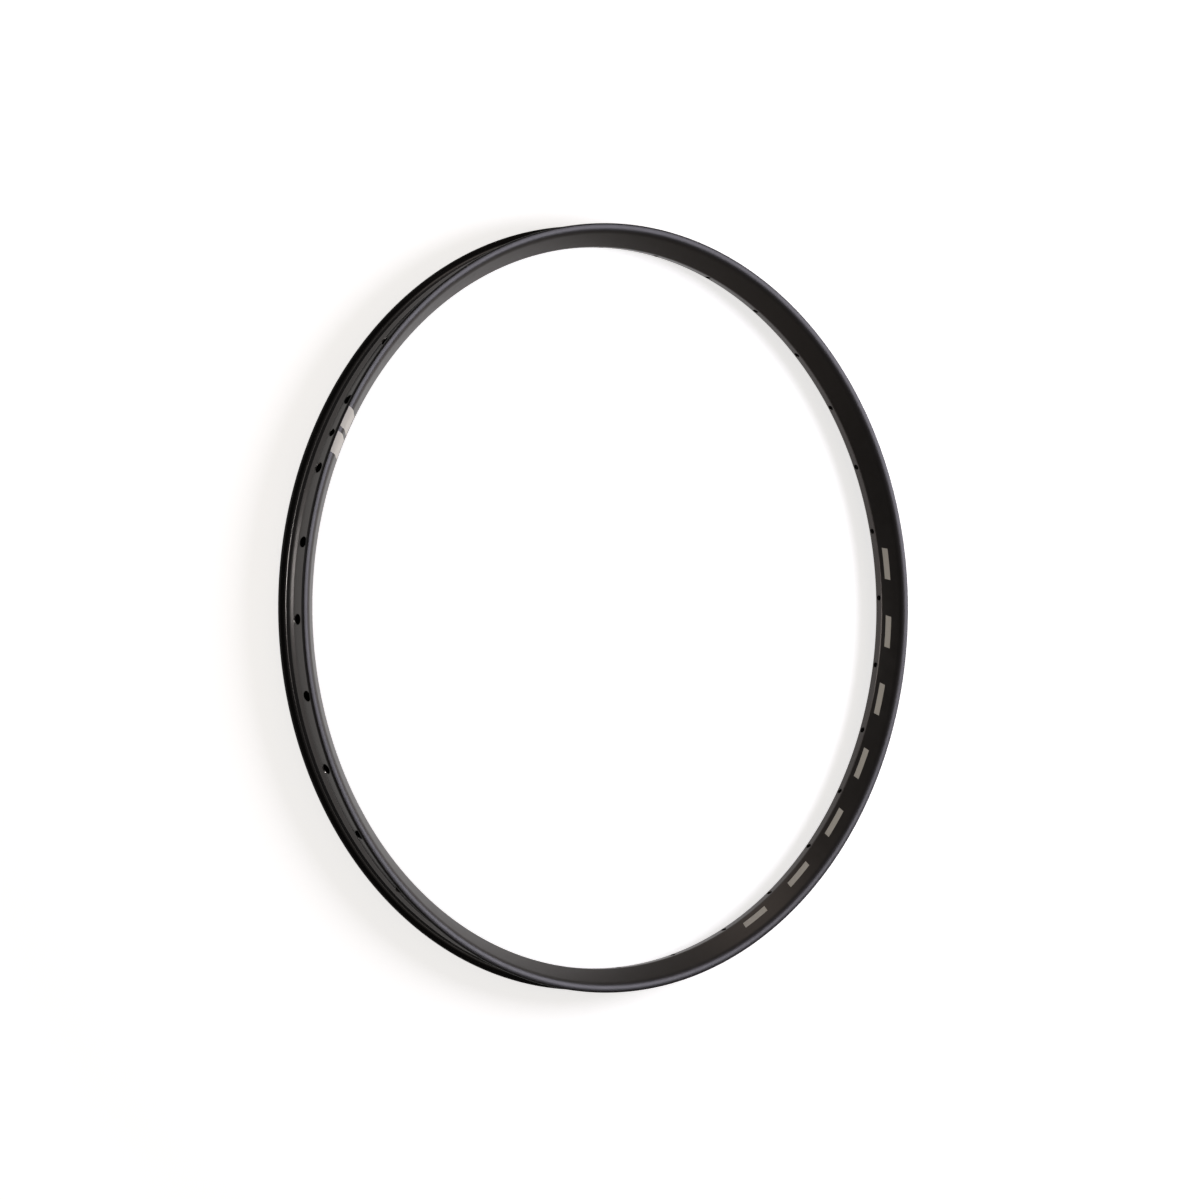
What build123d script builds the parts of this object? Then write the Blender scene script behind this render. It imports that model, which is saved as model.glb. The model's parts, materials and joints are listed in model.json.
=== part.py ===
# Bicycle rim: one hollow aluminium extrusion, rolled into a hoop, joined and drilled.
# Frame: millimetres, the hoop's axis is Z, its middle is the origin, the valve hole lies on +X.
import os
from math import cos, radians, sin, tan
from build123d import *

# Hoop sizes
BEAD_SEAT_DIAMETER = 622.0
FLANGE_HEIGHT = 5.5
INNER_WIDTH = 30.0
OUTER_WIDTH = 35.5
RIM_DEPTH = 18.8

# Tyre side of the section
SHELF_WIDTH = 6.6
WELL_WIDTH = 10.4
WELL_DROP = 1.6

# Spoke side of the section
SPOKE_BED_WIDTH = 6.6
SIDE_LEAN = 48.0
SIDE_FLAT = 0.35

# Wall thicknesses
TYRE_BED_WALL = 1.0
SPOKE_BED_WALL = 2.2
SIDE_WALL = 1.0

# Rounding of the section's corners
TIP_OUTER_ROUND = 1.0
TIP_INNER_ROUND = 0.7
BED_CORNER_ROUND = 2.6
BEAD_FILLET = 2.0
SHELF_EDGE_ROUND = 3.0
WELL_FILLET = 3.0
CAVITY_ROUND = 1.0

# Drilling
SPOKE_COUNT = 32
NIPPLE_HOLE = 4.4
ACCESS_HOLE = 8.4
SPOKE_CANT = 3.4
VALVE_HOLE = 6.5

# Radii and half widths that follow from the sizes above
SEAT_R = BEAD_SEAT_DIAMETER / 2
TIP_R = SEAT_R + FLANGE_HEIGHT
BED_R = TIP_R - RIM_DEPTH
WELL_R = SEAT_R - WELL_DROP
HALF_OUT = OUTER_WIDTH / 2
HALF_IN = INNER_WIDTH / 2
HALF_BED = SPOKE_BED_WIDTH / 2
HALF_WELL = WELL_WIDTH / 2
SHELF_END = HALF_IN - SHELF_WIDTH

# The outer side leaves the bed's corner at the lean angle and meets the widest plane here.
LEAN = radians(SIDE_LEAN)
SHOULDER_R = BED_R + (HALF_OUT - HALF_BED) / tan(LEAN)

# A narrow flat stays beside the flange's tip, and the shoulder is as round as the rest of that plane allows.
SHOULDER_ROUND = (TIP_R - TIP_OUTER_ROUND - SIDE_FLAT - SHOULDER_R) / tan(LEAN / 2)


def inner_side(radius):
    """Half width of the cavity at a radius: the outer side moved in by the side wall."""
    return HALF_BED + (radius - BED_R) * tan(LEAN) - SIDE_WALL / cos(LEAN)


def section_loop(half):
    """Closed wire in the XZ plane from (radius, half width, rounding) corners on the +Z side."""
    corners = half + [(r, -z, rnd) for r, z, rnd in reversed(half)]
    points = [Vector(r, 0, z) for r, z, rnd in corners]
    count = len(corners)
    starts = []
    ends = []
    arcs = []
    for i in range(count):
        here = points[i]
        to_last = (points[i - 1] - here).normalized()
        to_next = (points[(i + 1) % count] - here).normalized()
        half_angle = radians(to_last.get_angle(to_next)) / 2
        setback = corners[i][2] / tan(half_angle)
        middle = (to_last + to_next).normalized()
        reach = corners[i][2] / sin(half_angle) - corners[i][2]
        starts.append(here + to_last * setback)
        ends.append(here + to_next * setback)
        arcs.append(here + middle * reach)
    edges = []
    for i in range(count):
        edges.append(ThreePointArc(starts[i], arcs[i], ends[i]).edge())
        edges.append(Line(ends[i], starts[(i + 1) % count]).edge())
    return Wire(edges)


# Outside of the extrusion, from the spoke bed round the flange to the well
outside = section_loop([
    (BED_R, HALF_BED, BED_CORNER_ROUND),
    (SHOULDER_R, HALF_OUT, SHOULDER_ROUND),
    (TIP_R, HALF_OUT, TIP_OUTER_ROUND),
    (TIP_R, HALF_IN, TIP_INNER_ROUND),
    (SEAT_R, HALF_IN, BEAD_FILLET),
    (SEAT_R, SHELF_END, SHELF_EDGE_ROUND),
    (WELL_R, HALF_WELL, WELL_FILLET),
])

# Cavity between the spoke bed and the tyre bed
floor_r = BED_R + SPOKE_BED_WALL
roof_r = SEAT_R - TYRE_BED_WALL
dip_r = WELL_R - TYRE_BED_WALL
cavity = section_loop([
    (floor_r, inner_side(floor_r), CAVITY_ROUND),
    (roof_r, inner_side(roof_r), CAVITY_ROUND),
    (roof_r, SHELF_END, SHELF_EDGE_ROUND + TYRE_BED_WALL),
    (dip_r, HALF_WELL, WELL_FILLET - TYRE_BED_WALL),
])

hoop = revolve(Face(outside, [cavity]), axis=Axis.Z, revolution_arc=360)


def drill(angle, cant, diameter, start, stop):
    """Round cutter at an angle about Z that crosses the spoke bed's mid plane with a sideways cant."""
    a = radians(angle)
    c = radians(cant)
    along = Vector(cos(a) * cos(c), sin(a) * cos(c), sin(c))
    root = Vector(BED_R * cos(a), BED_R * sin(a), 0)
    plane = Plane(origin=root + along * (start - BED_R), z_dir=along)
    return Solid.make_cylinder(diameter / 2, stop - start, plane)


# Spoke holes cant to alternate sides; the larger hole above each lets the nipple in.
pitch = 360 / SPOKE_COUNT
mid_r = (floor_r + dip_r) / 2
cutters = []
for k in range(SPOKE_COUNT):
    angle = pitch * (k + 0.5)
    side = SPOKE_CANT if k % 2 else -SPOKE_CANT
    cutters.append(drill(angle, side, NIPPLE_HOLE, BED_R - 4, mid_r))
    cutters.append(drill(angle, side, ACCESS_HOLE, mid_r, TIP_R))

# One valve hole runs straight through both walls, midway between two spoke holes.
cutters.append(drill(0, 0, VALVE_HOLE, BED_R - 4, TIP_R))

rim = hoop.cut(*cutters).solid()
rim.label = "rim"

os.makedirs("parts", exist_ok=True)
export_step(rim, "parts/rim.step")
grams = rim.volume * 2.7e-3
print("rim", "volume mm3", round(rim.volume), "grams", round(grams), "box", rim.bounding_box().size)
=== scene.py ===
# %% [markdown]
# # A bicycle rim, from drawn section to finished hoop
#
# A rim of this kind starts as a straight hollow bar of aluminium, pressed through a die that has the
# shape of its section. The bar is rolled into a hoop, its ends are joined, the hoop is drilled for the
# spokes and the valve, and then it is blasted, polished in the tyre channel and anodised black.
#
# This lesson goes the same way in Blender: draw the section once, sweep it round a circle, drill it with
# a Boolean, and then write the finishes as shader nodes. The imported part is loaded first, because its box
# and its stated holes give the sizes that everything else follows.

import json
from math import asin, cos, pi, radians, sin, tan

import bpy
from mathutils import Matrix, Vector


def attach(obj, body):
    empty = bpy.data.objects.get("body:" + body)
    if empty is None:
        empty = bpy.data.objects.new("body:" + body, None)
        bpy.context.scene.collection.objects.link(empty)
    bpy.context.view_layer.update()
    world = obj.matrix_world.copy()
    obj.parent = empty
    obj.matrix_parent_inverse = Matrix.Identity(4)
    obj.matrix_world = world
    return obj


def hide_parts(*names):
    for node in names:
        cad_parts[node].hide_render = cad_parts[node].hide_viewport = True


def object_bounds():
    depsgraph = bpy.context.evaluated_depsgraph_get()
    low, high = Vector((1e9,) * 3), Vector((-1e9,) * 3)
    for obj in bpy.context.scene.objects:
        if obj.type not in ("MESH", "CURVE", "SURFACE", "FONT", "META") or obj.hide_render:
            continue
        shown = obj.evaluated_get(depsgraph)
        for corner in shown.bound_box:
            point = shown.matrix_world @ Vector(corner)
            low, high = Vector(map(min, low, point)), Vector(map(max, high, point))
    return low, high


MM = 0.001
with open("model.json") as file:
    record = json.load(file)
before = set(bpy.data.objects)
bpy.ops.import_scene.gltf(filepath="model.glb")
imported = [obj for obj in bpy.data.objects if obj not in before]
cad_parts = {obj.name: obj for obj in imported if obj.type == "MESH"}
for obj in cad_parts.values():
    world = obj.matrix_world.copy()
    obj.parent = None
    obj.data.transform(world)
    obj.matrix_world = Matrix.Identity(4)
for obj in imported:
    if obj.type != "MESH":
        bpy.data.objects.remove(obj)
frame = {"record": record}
cad_low, cad_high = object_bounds()
holes = {mount["name"]: mount for mount in frame["record"]["mounts"]}
print("packed rim in millimetres:", [round(side / MM, 2) for side in cad_high - cad_low])

# %% [markdown]
# ## Node sums that read like sums
#
# Node trees soon grow long when each Math node takes four lines. One small class helps: it holds an
# output socket, and its operators add the Math nodes, so `1 - mask * 0.3` is written as it is read. Its
# `node` method makes every other kind of node from a type, some settings and the values or links of its
# sockets.

# %% A socket that can be used in sums
class Wire:
    """An output socket. Sums with it add Math nodes to its tree."""

    def __init__(self, socket):
        self.socket = socket

    @classmethod
    def node(cls, tree, kind, settings=None, inputs=None):
        """Adds a node, sets its settings first and then its sockets, and returns its first output."""
        made = tree.nodes.new(kind)
        for name, value in (settings or {}).items():
            setattr(made, name, value)
        for name, value in (inputs or {}).items():
            if isinstance(name, int):
                socket = made.inputs[name]
            else:
                socket = next(s for s in made.inputs if s.name == name and not s.is_unavailable)
            for one in value if isinstance(value, list) else [value]:
                if isinstance(one, Wire):
                    tree.links.new(one.socket, socket)
                else:
                    socket.default_value = one
        return cls(made.outputs[0]) if made.outputs else made

    def __getitem__(self, name):
        """Another output of the same node."""
        outputs = self.socket.node.outputs
        return Wire(next(s for s in outputs if s.name == name and not s.is_unavailable))

    def math(self, operation, *others, first=None):
        """A Math node on this socket and others, or on a first value and this socket."""
        values = [self, *others] if first is None else [first, self]
        settings = {"operation": operation}
        return Wire.node(self.socket.id_data, "ShaderNodeMath", settings, dict(enumerate(values)))

    def __add__(self, other):
        return self.math("ADD", other)

    def __sub__(self, other):
        return self.math("SUBTRACT", other)

    def __rsub__(self, other):
        return self.math("SUBTRACT", first=other)

    def __mul__(self, other):
        return self.math("MULTIPLY", other)

    def __truediv__(self, other):
        return self.math("DIVIDE", other)

    def __mod__(self, other):
        return self.math("FLOORED_MODULO", other)

    def __pow__(self, other):
        return self.math("POWER", other)

    def __lt__(self, other):
        return self.math("LESS_THAN", other)

    def __gt__(self, other):
        return self.math("GREATER_THAN", other)

    def __abs__(self):
        return self.math("ABSOLUTE")

    __radd__ = __add__
    __rmul__ = __mul__


print("sums ready:", ", ".join(("+", "-", "*", "/", "%", "**", "<", ">", "abs")))

# %% [markdown]
# ## The section
#
# The section is what a die maker would draw: a narrow spoke bed, two sides that lean out at 48 degrees,
# rounded shoulders, two flanges that hold the tyre, and a tyre bed with a shelf on each side of a shallow
# well. Inside it is one hollow. A Bezier drawing would do, but corners with a rounding each are easier to
# read and change, so the section is a plain polyline. The rounding of each corner is kept in the point's
# radius.

# %% Radii and widths of the section
tip_radius = cad_high.x
half_out = cad_high.z
half_in = 15.0 * MM
half_bed = 3.3 * MM
half_well = 5.2 * MM
flange_height = 5.5 * MM
shelf_width = 6.6 * MM
well_drop = 1.6 * MM
rim_depth = 18.8 * MM
seat_radius = tip_radius - flange_height
well_radius = seat_radius - well_drop
bed_radius = tip_radius - rim_depth
shelf_end = half_in - shelf_width
print("section depth", round(rim_depth / MM, 2), "width", round(2 * half_out / MM, 2))

# %% Walls, roundings and the leaning side
side_wall = 1.0 * MM
tyre_bed_wall = 1.0 * MM
spoke_bed_wall = 2.2 * MM
bed_rounding = 2.6 * MM
tip_rounding = 1.0 * MM
tip_inner_rounding = 0.7 * MM
bead_fillet = 2.0 * MM
shelf_rounding = 3.0 * MM
well_fillet = 3.0 * MM
hollow_rounding = 1.0 * MM
side_lean = radians(48)
side_flat = 0.35 * MM
side_edge = tip_radius - tip_rounding - side_flat
shoulder_radius = bed_radius + (half_out - half_bed) / tan(side_lean)
shoulder_rounding = (side_edge - shoulder_radius) / tan(side_lean / 2)
print("shoulders rounded by", round(shoulder_rounding / MM, 2), "mm")

# %% Corners of the outside and of the hollow
def hollow_half_width(radius):
    """Half the hollow's width at a radius: the leaning side moved in by its wall."""
    return half_bed + (radius - bed_radius) * tan(side_lean) - side_wall / cos(side_lean)


floor_radius = bed_radius + spoke_bed_wall
roof_radius = seat_radius - tyre_bed_wall
dip_radius = well_radius - tyre_bed_wall
outside_corners = [
    (bed_radius, half_bed, bed_rounding),
    (shoulder_radius, half_out, shoulder_rounding),
    (tip_radius, half_out, tip_rounding),
    (tip_radius, half_in, tip_inner_rounding),
    (seat_radius, half_in, bead_fillet),
    (seat_radius, shelf_end, shelf_rounding),
    (well_radius, half_well, well_fillet),
]
hollow_corners = [
    (floor_radius, hollow_half_width(floor_radius), hollow_rounding),
    (roof_radius, hollow_half_width(roof_radius), hollow_rounding),
    (roof_radius, shelf_end, shelf_rounding + tyre_bed_wall),
    (dip_radius, half_well, well_fillet - tyre_bed_wall),
]
print("half a section has", len(outside_corners), "corners outside and", len(hollow_corners), "inside")

# %% Draw the section as two closed polylines
def add_loop(curve, half, turn_round):
    """Adds a closed polyline from the corners of one half and their mirror images."""
    corners = half + [(radius, -side, rounding) for radius, side, rounding in reversed(half)]
    if turn_round:
        corners.reverse()
    spline = curve.splines.new("POLY")
    spline.points.add(len(corners) - 1)
    for point, (radius, side, rounding) in zip(spline.points, corners):
        point.co = (radius - seat_radius, side, 0, 1)
        point.radius = rounding
    spline.use_cyclic_u = True


section_curve = bpy.data.curves.new("rim_section", "CURVE")
section_curve.dimensions = "3D"
add_loop(section_curve, outside_corners, True)
add_loop(section_curve, hollow_corners, False)
section = bpy.data.objects.new("rim_section", section_curve)
bpy.context.scene.collection.objects.link(section)
print("section loops with", [len(spline.points) for spline in section_curve.splines], "corners")

# %% [markdown]
# ## Roll the section
#
# The hoop follows a rule, so Geometry Nodes make it. Fillet Curve rounds the drawn corners, and Curve to
# Mesh sweeps the section round a circle, which is the node form of rolling a bar. A Screw modifier would
# do too, but the holes repeat as well, and one tree can hold both.

# %% Nodes that roll the section
def rolled(tree, given):
    """The section with its corners rounded, swept round the hoop's circle."""
    drawn = Wire.node(tree, "GeometryNodeObjectInfo", None, {"Object": given["Section"]})["Geometry"]
    rounding = Wire.node(tree, "GeometryNodeInputRadius")
    rounded = Wire.node(tree, "GeometryNodeFilletCurve", {"mode": "POLY"},
                        {"Curve": drawn, "Count": given["Rounding Steps"], "Radius": rounding})
    circle = Wire.node(tree, "GeometryNodeCurvePrimitiveCircle", None,
                       {"Resolution": given["Hoop Steps"], "Radius": given["Hoop Radius"]})
    return Wire.node(tree, "GeometryNodeCurveToMesh", None, {"Curve": circle, "Profile Curve": rounded})


print("rolling ready for a hoop of radius", round(seat_radius / MM, 1), "mm")

# %% [markdown]
# ## Drill the hoop
#
# Each spoke hole leans to one side or the other in turn, because its spoke goes to one hub flange or the
# other. The small hole in the spoke bed stops the nipple's head, and the large one above it lets the head
# pass. A short cone at each mouth is the broken edge that a deburring tool leaves.
#
# The holes could be cut into the mesh by hand, but a round hole in a curved wall is just what a Boolean
# is good at: cutters are instanced on points round the hoop and all taken away at once.

# %% Sizes of the drilling
nipple_hole = 2 * holes["spoke_hole_low_cant"]["dims"]["r_mm"] * MM
valve_hole = 2 * holes["valve_hole"]["dims"]["r_mm"] * MM
cant = abs(asin(holes["spoke_hole_low_cant"]["axis"][2]))
access_hole = 8.4 * MM
spoke_holes = 32
print("nipple hole", nipple_hole / MM, "valve hole", valve_hole / MM, "cant in radians", round(cant, 4))

# %% Reach of the cutters, measured outwards from the spoke bed
run_out = 4 * MM
clear_of_middle = 1 * MM
hollow_middle = (floor_radius + dip_radius) / 2 - bed_radius
nipple_end = hollow_middle - clear_of_middle
access_start = hollow_middle + clear_of_middle
tyre_bed = well_radius - bed_radius
drill_end = tip_radius - bed_radius + run_out
print("nipple drill stops at", round(nipple_end / MM, 2), "mm")
print("access drill starts at", round(access_start / MM, 2), "mm")

# %% Cones that break the edges
# Half of each cone stands outside the wall, and at the wall's face it is one broken edge wider all round.
broken_edge = 0.25 * MM
cone_length = 4 * broken_edge
cone_lead = cone_length / 2
cone_wide_end = 6 * broken_edge
cone_narrow_end = -2 * broken_edge
cutter_sides = 48
print("edges broken by", broken_edge / MM, "mm")

# %% Cutters along a drilling direction
def vector(tree, x, y, z):
    """A vector from three values or sockets."""
    return Wire.node(tree, "ShaderNodeCombineXYZ", None, {"X": x, "Y": y, "Z": z})


def round_cutter(tree, start_width, end_width, length):
    """A straight or tapered cutter that starts at the origin and runs along Z."""
    return Wire.node(tree, "GeometryNodeMeshCone", None,
                     {"Vertices": cutter_sides, "Radius Bottom": start_width / 2,
                      "Radius Top": end_width / 2, "Depth": length})


def cutters_along(tree, points, cutter, direction, root, start):
    """Instances a cutter at each point, starting this far from the root along the drilling direction."""
    step = Wire.node(tree, "ShaderNodeVectorMath", {"operation": "SCALE"},
                     {"Vector": direction, "Scale": start})
    place = Wire.node(tree, "ShaderNodeVectorMath", {"operation": "ADD"}, {0: root, 1: step})
    moved = Wire.node(tree, "GeometryNodeSetPosition", None, {"Geometry": points, "Position": place})
    turned = Wire.node(tree, "FunctionNodeAlignRotationToVector", {"axis": "Z"}, {"Vector": direction})
    return Wire.node(tree, "GeometryNodeInstanceOnPoints", None,
                     {"Points": moved, "Instance": cutter, "Rotation": turned})


print("cutters with", cutter_sides, "sides ready")

# %% Cutters for the spoke holes and the valve hole
def spoke_cutters(tree, given):
    """Nipple and access cutters on every spoke line, canted to one side and the other in turn."""
    points = Wire.node(tree, "GeometryNodePoints", None, {"Count": given["Spoke Holes"]})
    index = Wire.node(tree, "GeometryNodeInputIndex")
    # The first spoke line stands half a space from the valve hole.
    angle = (index + 0.5) * (2 * pi) / given["Spoke Holes"]
    lean = given["Cant"] * ((index % 2) * 2 - 1)
    direction = vector(tree, angle.math("COSINE") * lean.math("COSINE"),
                       angle.math("SINE") * lean.math("COSINE"), lean.math("SINE"))
    root = vector(tree, angle.math("COSINE") * bed_radius, angle.math("SINE") * bed_radius, 0.0)
    nipple, access = given["Nipple Hole"], given["Access Hole"]
    cutters = [
        (round_cutter(tree, nipple, nipple, nipple_end + run_out), -run_out),
        (round_cutter(tree, nipple + cone_wide_end, nipple + cone_narrow_end, cone_length), -cone_lead),
        (round_cutter(tree, access, access, drill_end - access_start), access_start),
        (round_cutter(tree, access + cone_narrow_end, access + cone_wide_end, cone_length),
         tyre_bed - cone_lead),
    ]
    return [cutters_along(tree, points, cutter, direction, root, start) for cutter, start in cutters]


def valve_cutters(tree, given):
    """One straight cutter through both walls, and the cone at its mouth in the tyre bed."""
    point = Wire.node(tree, "GeometryNodePoints", None, {"Count": 1})
    direction = vector(tree, 1.0, 0.0, 0.0)
    root = vector(tree, bed_radius, 0.0, 0.0)
    valve = given["Valve Hole"]
    cutters = [
        (round_cutter(tree, valve, valve, drill_end + run_out), -run_out),
        (round_cutter(tree, valve + cone_narrow_end, valve + cone_wide_end, cone_length),
         tyre_bed - cone_lead),
    ]
    return [cutters_along(tree, point, cutter, direction, root, start) for cutter, start in cutters]


def drilled(tree, given, hoop):
    """The hoop with all cutters taken away."""
    cutters = spoke_cutters(tree, given) + valve_cutters(tree, given)
    return Wire.node(tree, "GeometryNodeMeshBoolean", {"operation": "DIFFERENCE", "solver": "MANIFOLD"},
                     {"Mesh 1": hoop, "Mesh 2": cutters})


print("drilling ready for", spoke_holes, "spoke lines and one valve hole")

# %% [markdown]
# ## Shade the faces and share out the finishes
#
# A rolled bar is smooth all over and only the drilled edges are crisp, so every face is shaded smooth and
# edges with a turn of more than 25 degrees stay sharp. The hoop has three finishes. Faces could be picked
# by hand, but a rule holds when the section changes: where a face lies, and whether it looks outwards,
# says which finish it takes.

# %% Nodes that shade and dress the faces
crisp_angle = radians(25)
channel_margin = 0.3 * MM
channel_outward = -0.3
tip_band = 0.7 * MM
tip_outward = 0.5


def shaded(tree, mesh):
    """Smooth faces with crisp edges round the holes."""
    smooth = Wire.node(tree, "GeometryNodeSetShadeSmooth", {"domain": "FACE"}, {"Geometry": mesh})
    edge_angle = Wire.node(tree, "GeometryNodeInputMeshEdgeAngle")
    return Wire.node(tree, "GeometryNodeSetShadeSmooth", {"domain": "EDGE"},
                     {"Geometry": smooth, "Selection": edge_angle > crisp_angle, "Shade Smooth": False})


def channel_and_tips(tree):
    """Selections of the faces in the tyre channel and on the flange tips."""
    place = Wire.node(tree, "GeometryNodeInputPosition")
    normal = Wire.node(tree, "GeometryNodeInputNormal")
    flat_place = Wire.node(tree, "ShaderNodeVectorMath", {"operation": "MULTIPLY"},
                           {0: place, 1: (1, 1, 0)})
    radius = Wire.node(tree, "ShaderNodeVectorMath", {"operation": "LENGTH"}, {0: flat_place})["Value"]
    outward = Wire.node(tree, "ShaderNodeVectorMath", {"operation": "DOT_PRODUCT"},
                        {0: flat_place, 1: normal})["Value"] / radius
    height = abs(Wire.node(tree, "ShaderNodeSeparateXYZ", None, {0: place})["Z"])
    in_channel = ((radius > well_radius - channel_margin) * (height < half_in + channel_margin)
                  * (outward > channel_outward))
    on_tips = (radius > tip_radius - tip_band) * (outward > tip_outward)
    return in_channel, on_tips


def dressed(tree, given, mesh):
    """The mesh with the body finish, then the channel's and the tips' over it."""
    in_channel, on_tips = channel_and_tips(tree)
    whole = Wire.node(tree, "GeometryNodeRealizeInstances", None, {"Geometry": mesh})
    body = Wire.node(tree, "GeometryNodeSetMaterial", None,
                     {"Geometry": whole, "Material": given["Body Finish"]})
    channel = Wire.node(tree, "GeometryNodeSetMaterial", None,
                        {"Geometry": body, "Selection": in_channel, "Material": given["Channel Finish"]})
    return Wire.node(tree, "GeometryNodeSetMaterial", None,
                     {"Geometry": channel, "Selection": on_tips, "Material": given["Tip Finish"]})


print("shading and dressing ready")

# %% [markdown]
# ## Put the tree together
#
# The four steps now join in one tree: roll, drill, shade and dress. Their sizes could be written straight
# into the nodes, but inputs with names can be set again on the modifier, and the same tree then makes
# another rim. Blender gives each input an identifier of its own, so these are kept beside the names.

# %% The whole tree with its named inputs
input_kinds = {
    "Section": "Object", "Hoop Radius": "Float", "Hoop Steps": "Int", "Rounding Steps": "Int",
    "Spoke Holes": "Int", "Cant": "Float", "Nipple Hole": "Float", "Access Hole": "Float",
    "Valve Hole": "Float", "Body Finish": "Material", "Channel Finish": "Material",
    "Tip Finish": "Material",
}
rim_tree = bpy.data.node_groups.new("rolled_rim", "GeometryNodeTree")
rim_tree.interface.new_socket("Geometry", in_out="INPUT", socket_type="NodeSocketGeometry")
rim_tree.interface.new_socket("Geometry", in_out="OUTPUT", socket_type="NodeSocketGeometry")
rim_inputs = {}
for name, kind in input_kinds.items():
    socket = rim_tree.interface.new_socket(name, in_out="INPUT", socket_type="NodeSocket" + kind)
    rim_inputs[name] = socket.identifier
given = Wire.node(rim_tree, "NodeGroupInput")
finished = dressed(rim_tree, given, shaded(rim_tree, drilled(rim_tree, given, rolled(rim_tree, given))))
Wire.node(rim_tree, "NodeGroupOutput", None, {"Geometry": finished})
print("rolling tree has", len(rim_tree.nodes), "nodes and the inputs", ", ".join(rim_inputs))

# %% [markdown]
# ## Grain and die lines
#
# Three finishes share the same few patterns, so these come first. A picture of grain would need an image
# file. Noise on Object coordinates needs none, has no seam and keeps its size in metres. The faint lines
# that the die leaves along the bar come from the same noise on a place made of radius, angle and height,
# which stretches them round the hoop.

# %% Where a point lies on the hoop, and the patterns on it
die_line_stretch = 12


def hoop_place(tree):
    """Object coordinates of a shading point, then its radius, angle and height on the hoop."""
    spot = Wire.node(tree, "ShaderNodeTexCoord")["Object"]
    sides = Wire.node(tree, "ShaderNodeSeparateXYZ", None, {0: spot})
    x, y, z = sides["X"], sides["Y"], sides["Z"]
    return spot, (x * x + y * y).math("SQRT"), y.math("ARCTAN2", x), z


def grain(tree, spot, size, detail):
    """Noise between 0 and 1 with blobs of about this size in metres."""
    return Wire.node(tree, "ShaderNodeTexNoise", None,
                     {"Vector": spot, "Scale": 1 / size, "Detail": detail, "Roughness": 0.5})


def die_lines(tree, radius, angle, height, width):
    """Noise stretched round the hoop, as thin lines that change slowly along the bar."""
    along_bar = vector(tree, radius, angle * (die_line_stretch * width), height)
    return grain(tree, along_bar, width, detail=2)


def blend(tree, mask, low, high):
    """Mixes two colours, given as linear red, green and blue or as a socket."""
    low, high = [(*colour, 1) if isinstance(colour, tuple) else colour for colour in (low, high)]
    mixed = Wire.node(tree, "ShaderNodeMix", {"data_type": "RGBA"}, {"Factor": mask, "A": low, "B": high})
    return mixed["Result"]


print("place, grain, die lines and blending ready")

# %% [markdown]
# ## The pale print
#
# One side carries a row of plain pale bars between the spoke holes, and two short bars sit beside the
# valve hole. Print is ink with no height, so it is a mask in the finish and not a mesh. A bar is a range
# of angles times a range of radii, with an edge a tenth of a millimetre soft, and the row is one bar
# repeated with a modulo.

# %% Sizes of the bars
print_middle = bed_radius + 4.2 * MM
print_height = 3.2 * MM
print_length = 27 * MM
print_count = 7
print_lean = 0.45
print_edge = 0.1 * MM
row_end_edge = 0.001
spoke_pitch = 2 * pi / spoke_holes
valve_bar_start = 2 * MM
valve_bar_end = 19 * MM
valve_bar_low = print_middle - 2.4 * MM
print("row of", print_count, "bars, each", print_length / MM, "mm long")

# %% Masks for the bars
def step_up(value, limit, soft):
    """0 below a limit and 1 above it, with a soft edge, or the other way round for a negative edge."""
    edge = ((value - limit) / soft).math("ADD", 0.5)
    edge.socket.node.use_clamp = True
    return edge


def band(value, low, high, soft):
    """1 between two limits and 0 outside them, with soft edges."""
    return step_up(value, low, soft) * step_up(value, high, -soft)


def bar_row(radius, angle, height):
    """The row on the upper side: one leaning bar in each space between two spoke holes."""
    from_valve = angle % (2 * pi)
    in_space = (angle + spoke_pitch / 2) % spoke_pitch - spoke_pitch / 2
    leaning = in_space * bed_radius + (radius - print_middle) * print_lean
    bars = band(leaning, -print_length / 2, print_length / 2, print_edge)
    half_row = print_count * spoke_pitch / 2
    row = band(from_valve, pi - half_row, pi + half_row, row_end_edge)
    depth = band(radius, print_middle - print_height / 2, print_middle + print_height / 2, print_edge)
    return bars * row * depth * (height > 0.0)


def valve_bars(radius, angle, height):
    """Two short bars beside the valve hole on the upper side."""
    across = band(abs(angle * bed_radius), valve_bar_start, valve_bar_end, print_edge)
    return across * band(radius, valve_bar_low, side_edge, print_edge) * (height > 0.0)


print("bar masks ready")

# %% [markdown]
# ## The blasted black finish
#
# The outside of the hoop is blasted with fine beads before it is anodised, which leaves an even satin
# grain, and faint lines from the die still run along the bar under it. The dyed oxide over the metal is a
# dark clear layer, so to the shader the surface is no metal: Metallic stays at zero, the index of
# refraction is near that of glass, and a warm tint on the sheen stands for the metal that shines through
# a little. The print lies on this finish, so its masks are mixed in here.

# %% Helpers that start and end a finish
def new_finish(name):
    """An empty material and its node tree."""
    material = bpy.data.materials.new(name)
    material.use_nodes = True
    material.node_tree.nodes.clear()
    return material, material.node_tree


def relief_normal(tree, relief, strength, depth):
    """The normal of a fine relief of this depth in metres."""
    return Wire.node(tree, "ShaderNodeBump", None,
                     {"Strength": strength, "Distance": depth, "Height": relief})


def end_finish(tree, colour, rough, normal, index, sheen):
    """A Principled shader with one index of refraction and one sheen all over, joined to the output."""
    surface = Wire.node(tree, "ShaderNodeBsdfPrincipled", None,
                        {"Base Color": colour, "Roughness": rough, "Normal": normal,
                         "IOR": index, "Specular Tint": (*sheen, 1)})
    Wire.node(tree, "ShaderNodeOutputMaterial", None, {"Surface": surface})


print("finish helpers ready")

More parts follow.
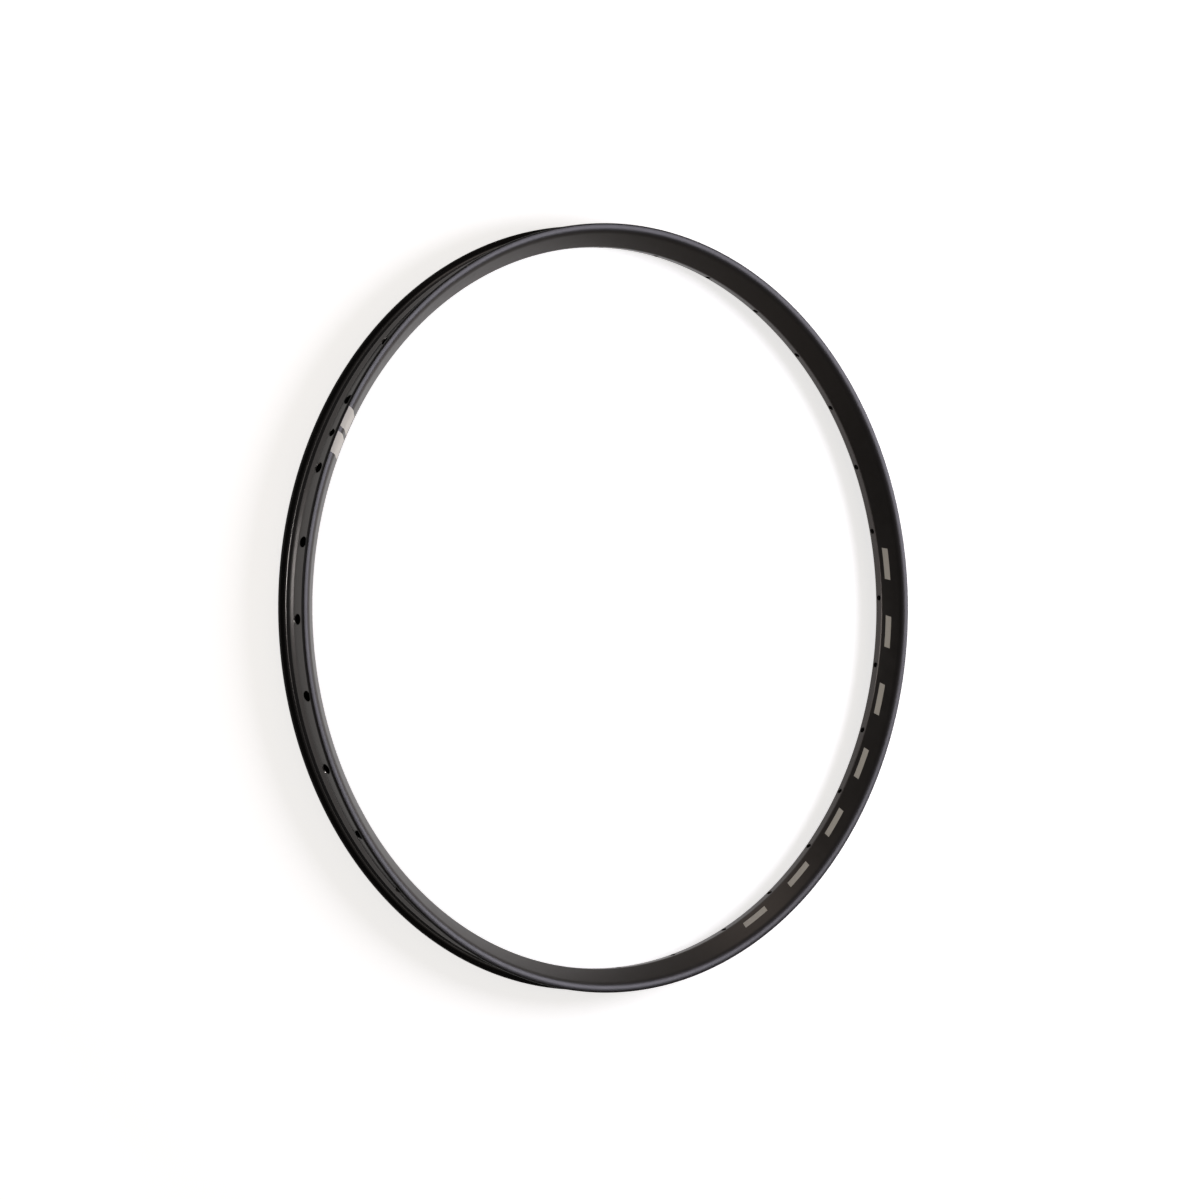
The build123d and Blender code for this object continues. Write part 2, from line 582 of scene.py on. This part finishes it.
# %% Sizes and colours of the blasted finish
bead_size = 0.45 * MM
blasted_mottle = 9 * MM
blasted_lines = 0.7 * MM
blasted_black = ((0.0034, 0.0031, 0.0029), (0.0052, 0.0048, 0.0045))
grey_ink = ((0.25, 0.229, 0.192), (0.32, 0.293, 0.246))
white_ink = ((0.78, 0.715, 0.61), (0.92, 0.845, 0.72))
print("beads of", bead_size / MM, "mm and die lines of", blasted_lines / MM, "mm")

# %% The blasted finish as nodes
blasted_rough = 0.28
blasted_mottle_rough = 0.07
blasted_line_rough = 0.05
ink_rough = 0.12
line_relief = 0.5


def blasted_finish():
    """Satin black with bead grain and die lines, and the two inks where the print is."""
    material, tree = new_finish("blasted_black")
    spot, radius, angle, height = hoop_place(tree)
    beads = grain(tree, spot, bead_size, detail=2)
    mottle = grain(tree, spot, blasted_mottle, detail=3)
    lines = die_lines(tree, radius, angle, height, blasted_lines)
    row = bar_row(radius, angle, height)
    pair = valve_bars(radius, angle, height)
    with_row = blend(tree, row, blend(tree, mottle, *blasted_black), blend(tree, beads, *grey_ink))
    colour = blend(tree, pair, with_row, blend(tree, beads, *white_ink))
    bare_rough = blasted_rough + mottle * blasted_mottle_rough + lines * blasted_line_rough
    rough = bare_rough + (row + pair) * ink_rough
    normal = relief_normal(tree, beads + lines * line_relief, strength=0.07, depth=0.02 * MM)
    end_finish(tree, colour, rough, normal, index=1.48, sheen=(1.0, 0.89, 0.83))
    return material


body_finish = blasted_finish()
print("blasted finish has", len(body_finish.node_tree.nodes), "nodes")

# %% [markdown]
# ## The polished tyre channel
#
# Tape has to seal in the channel, so the tyre bed and the inner faces of the flanges are turned smooth
# before the hoop is anodised. They stay black but show clear reflections, drawn out along the hoop by the
# polishing lines. A black of the same kind serves with a lower roughness, and fine lines take the place
# of the bead grain.

# %% The polished finish as nodes
polished_mottle = 14 * MM
polished_lines = 0.35 * MM
polished_black = ((0.0075, 0.0072, 0.0072), (0.0105, 0.0100, 0.0100))
polished_rough = 0.13
polished_mottle_rough = 0.05
polished_line_rough = 0.08


def polished_finish():
    """Smooth black with fine lines along the hoop."""
    material, tree = new_finish("polished_black")
    spot, radius, angle, height = hoop_place(tree)
    mottle = grain(tree, spot, polished_mottle, detail=3)
    lines = die_lines(tree, radius, angle, height, polished_lines)
    colour = blend(tree, mottle, *polished_black)
    rough = polished_rough + mottle * polished_mottle_rough + lines * polished_line_rough
    normal = relief_normal(tree, lines + mottle, strength=0.08, depth=0.01 * MM)
    end_finish(tree, colour, rough, normal, index=1.5, sheen=(1.0, 0.93, 0.90))
    return material


channel_finish = polished_finish()
print("polished finish has", len(channel_finish.node_tree.nodes), "nodes")

# %% [markdown]
# ## The dull flange tips
#
# The two tips are neither blasted nor polished, and they show as a black line between the satin side and
# the bright channel. They get the same dye with hardly any sheen, which is a low index of refraction and
# a high roughness.

# %% The dull finish as nodes
dull_mottle = 9 * MM
dull_lines = 0.7 * MM
dull_black = ((0.0030, 0.0028, 0.0027), (0.0046, 0.0043, 0.0041))
dull_rough = 0.4
dull_mottle_rough = 0.1
dull_line_rough = 0.1


def dull_finish():
    """Dull black with die lines and little sheen."""
    material, tree = new_finish("dull_black")
    spot, radius, angle, height = hoop_place(tree)
    mottle = grain(tree, spot, dull_mottle, detail=3)
    lines = die_lines(tree, radius, angle, height, dull_lines)
    colour = blend(tree, mottle, *dull_black)
    rough = dull_rough + mottle * dull_mottle_rough + lines * dull_line_rough
    normal = relief_normal(tree, lines, strength=0.1, depth=0.01 * MM)
    end_finish(tree, colour, rough, normal, index=1.15, sheen=(1.0, 1.0, 1.0))
    return material


tip_finish = dull_finish()
print("dull finish has", len(tip_finish.node_tree.nodes), "nodes")

# %% [markdown]
# ## Make the hoop
#
# The tree now runs once, as a modifier on an empty mesh. Its inputs are set by their identifiers before
# Blender first looks at the object. The result is then copied to a plain mesh and the modifier goes,
# because a plain mesh is what other programs can read. The mesh stands for the imported rim and rides on
# its body.

# %% The hoop as a plain mesh
rim = bpy.data.objects.new("rim_hoop", bpy.data.meshes.new("rim_hoop"))
bpy.context.scene.collection.objects.link(rim)
rolling = rim.modifiers.new("rolling", "NODES")
rolling.node_group = rim_tree
settings = {
    "Section": section, "Hoop Radius": seat_radius, "Hoop Steps": 320, "Rounding Steps": 8,
    "Spoke Holes": spoke_holes, "Cant": cant, "Nipple Hole": nipple_hole, "Access Hole": access_hole,
    "Valve Hole": valve_hole, "Body Finish": body_finish, "Channel Finish": channel_finish,
    "Tip Finish": tip_finish,
}
for name, value in settings.items():
    rolling[rim_inputs[name]] = value
made = bpy.data.meshes.new_from_object(rim.evaluated_get(bpy.context.evaluated_depsgraph_get()))
rim.modifiers.remove(rolling)
rim.data = made
# The Boolean leaves an empty first slot, which no face uses.
made.materials.pop(index=0)
bpy.data.objects.remove(section)
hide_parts("rim")
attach(rim, "root")
print("hoop:", len(made.vertices), "points", len(made.polygons), "faces", [m.name for m in made.materials])

# %% [markdown]
# ## The white floor
#
# The hoop can't stand by itself, so it lies on its side on a white floor and the camera looks down on it.
# The floor has to show white and still keep a soft shadow. A bright lamp would do that by washing out the
# black, so instead the floor gets most of its white from an Emission shader that only camera, glossy and
# transmission rays see, and the rest from the lamps, which is where the shadow can form. Further out,
# where little lamp light falls, the Emission grows to full white. The floor's own colour is a warm white,
# which evens out the bluish key lamp.

# %% The floor and its finish
floor_colour = (0.86, 0.80, 0.73, 1)
white_near_hoop = 0.7
fade_distance = 1.0
fade_width = 0.8
floor_reach = 20.0
floor_gap = 0.05 * MM


def floor_finish():
    """Matt warm white, with a white that only the camera and mirror rays see."""
    material, tree = new_finish("white_floor")
    ray = Wire.node(tree, "ShaderNodeLightPath")
    mirrored = ray["Is Glossy Ray"].math("MAXIMUM", ray["Is Transmission Ray"])
    seen = ray["Is Camera Ray"].math("MAXIMUM", mirrored)
    spot = Wire.node(tree, "ShaderNodeTexCoord")["Object"]
    distance = Wire.node(tree, "ShaderNodeVectorMath", {"operation": "LENGTH"}, {0: spot})["Value"]
    white = step_up(distance, fade_distance, fade_width) * (1 - white_near_hoop) + white_near_hoop
    glow = Wire.node(tree, "ShaderNodeEmission", None, {"Color": (1, 1, 1, 1), "Strength": seen * white})
    matt = Wire.node(tree, "ShaderNodeBsdfDiffuse", None, {"Color": floor_colour})
    both = Wire.node(tree, "ShaderNodeAddShader", None, {0: matt, 1: glow})
    Wire.node(tree, "ShaderNodeOutputMaterial", None, {"Surface": both})
    return material


floor_level = cad_low.z - floor_gap
corner_signs = ((-1, -1), (1, -1), (1, 1), (-1, 1))
floor_corners = [(x * floor_reach, y * floor_reach, floor_level) for x, y in corner_signs]
floor_mesh = bpy.data.meshes.new("floor")
floor_mesh.from_pydata(floor_corners, [], [(0, 1, 2, 3)])
floor_mesh.materials.append(floor_finish())
floor = bpy.data.objects.new("floor", floor_mesh)
bpy.context.scene.collection.objects.link(floor)
print("floor at", round(floor_level / MM, 2), "mm")

# %% [markdown]
# ## The camera
#
# The view is easiest to write from the camera's side: how far the hoop's axle is turned and tilted, where
# the valve hole stands on the hoop, where the hoop's middle lies and how long the lens is. The axle, the
# direction up the picture and the one across it then make a turning matrix. A camera could be moved by
# eye until it fits, but this way each number says one thing. Blender wants the camera's own place, so the
# whole view is inverted.

# %% The camera's place and lens
yaw, tilt, valve_turn = radians(37.925), radians(-0.244), radians(153.47)
focal_pixels, image_side = 4170.0, 1200.0
centre = Vector((7.93, -6.47, -3448.0)) * MM
axle = Vector((sin(yaw) * cos(tilt), -sin(tilt), cos(yaw) * cos(tilt)))
above = (Vector((0, 1, 0)) - axle * axle.y).normalized()
beside = above.cross(axle)
valve = beside * cos(valve_turn) + above * sin(valve_turn)
turn = Matrix((valve, axle.cross(valve), axle)).transposed()
lens = bpy.data.cameras.new("camera")
lens.sensor_width = 36.0
lens.lens = focal_pixels / image_side * lens.sensor_width
camera = bpy.data.objects.new("camera", lens)
camera.matrix_world = (Matrix.Translation(centre) @ turn.to_4x4()).inverted()
bpy.context.scene.collection.objects.link(camera)
bpy.context.scene.camera = camera
print("camera at", [round(v, 3) for v in camera.matrix_world.translation], "lens", round(lens.lens, 1))

# %% [markdown]
# ## Lamps
#
# A black satin hoop shows little but what it mirrors, so each lamp is placed for the light line that it
# draws. The key stands beyond the far side and draws the line along the shoulders. The strip and the line
# lie low on the near side, where they light the print and the slope of the tyre channel. The glow comes
# from the top of the picture and lifts the side walls a little. All are large, because a small lamp would
# leave hard points of light on every rounded edge.

# %% Four soft lamps
def soft_lamp(name, place, size, power, colour):
    """An elliptical lamp that looks at the middle of the hoop."""
    lamp = bpy.data.lights.new(name, "AREA")
    lamp.shape = "ELLIPSE"
    lamp.size, lamp.size_y = size
    lamp.energy = power
    lamp.color = colour
    holder = bpy.data.objects.new(name, lamp)
    holder.location = place
    holder.rotation_euler = place.to_track_quat("Z", "Y").to_euler()
    bpy.context.scene.collection.objects.link(holder)


up = Vector((0, 0, 1))
away = turn.transposed() @ beside
up_the_picture = turn.transposed() @ above
near_side = up_the_picture * 0.42 - away * 2.94
soft_lamp("key", away * 0.8 + up * 0.85 + up_the_picture * 0.12,
          size=(0.56, 0.84), power=8.7, colour=(0.77, 0.82, 1.0))
soft_lamp("strip", near_side + up * 0.34, size=(3.6, 0.5), power=22, colour=(1, 0.98, 0.95))
soft_lamp("line", near_side + up * 0.13, size=(1.2, 0.28), power=44, colour=(1, 1, 1))
soft_lamp("glow", up_the_picture * 2.85 + away * 0.2 + up * 0.95,
          size=(1.4, 1.4), power=5.4, colour=(1, 0.9, 0.82))

# %% [markdown]
# ## The surround
#
# Between the lamps the hoop mirrors the world, so the world stands for the pale walls of a studio: a band
# of light round the horizon, more of it on the far side, some towards the top and the bottom of the
# picture, and a soft patch overhead. One even grey would be simpler, but then the shoulders and the side
# walls would all have the same tone. The light is a little warm.

# %% Colour, strengths and spread of the surround
surround_colour = (1.0, 0.94, 0.88, 1)
horizon_light, far_light, side_light, overhead_light, least_light = 0.25, 1.7, 0.34, 0.25, 0.02
horizon_narrowing, far_narrowing, far_flattening, overhead_narrowing = 4, 6, 2, 12
horizon_far_share, horizon_even_share = 0.45, 0.55
print("surround strengths:", horizon_light, far_light, side_light, overhead_light)

# %% The surround as nodes
world = bpy.data.worlds.new("studio")
bpy.context.scene.world = world
world.use_nodes = True
sky = world.node_tree
sky.nodes.clear()
facing = Wire.node(sky, "ShaderNodeTexCoord")["Generated"]


def lies_along(direction):
    """How far a place in the surround lies along a direction, from -1 to 1."""
    product = Wire.node(sky, "ShaderNodeVectorMath", {"operation": "DOT_PRODUCT"},
                        {0: facing, 1: tuple(direction)})
    return product["Value"]


towards, aside, steep = lies_along(away), lies_along(up_the_picture), abs(lies_along(up))
level = 1 - steep
horizon_share = towards * horizon_far_share + horizon_even_share
horizon = level ** horizon_narrowing * horizon_share * horizon_light
far_side = towards.math("MAXIMUM", 0.0) ** far_narrowing * level ** far_flattening * far_light
both_sides = aside * aside * side_light
overhead = steep ** overhead_narrowing * overhead_light
strength = horizon + far_side + both_sides + overhead + least_light
background = Wire.node(sky, "ShaderNodeBackground", None, {"Color": surround_colour, "Strength": strength})
Wire.node(sky, "ShaderNodeOutputWorld", None, {"Surface": background})
print("surround has", len(sky.nodes), "nodes")

# %% [markdown]
# ## Finish
#
# The plain Standard view shows colours as they are written.

# %% Show colours as they are written
bpy.context.scene.view_settings.view_transform = "Standard"
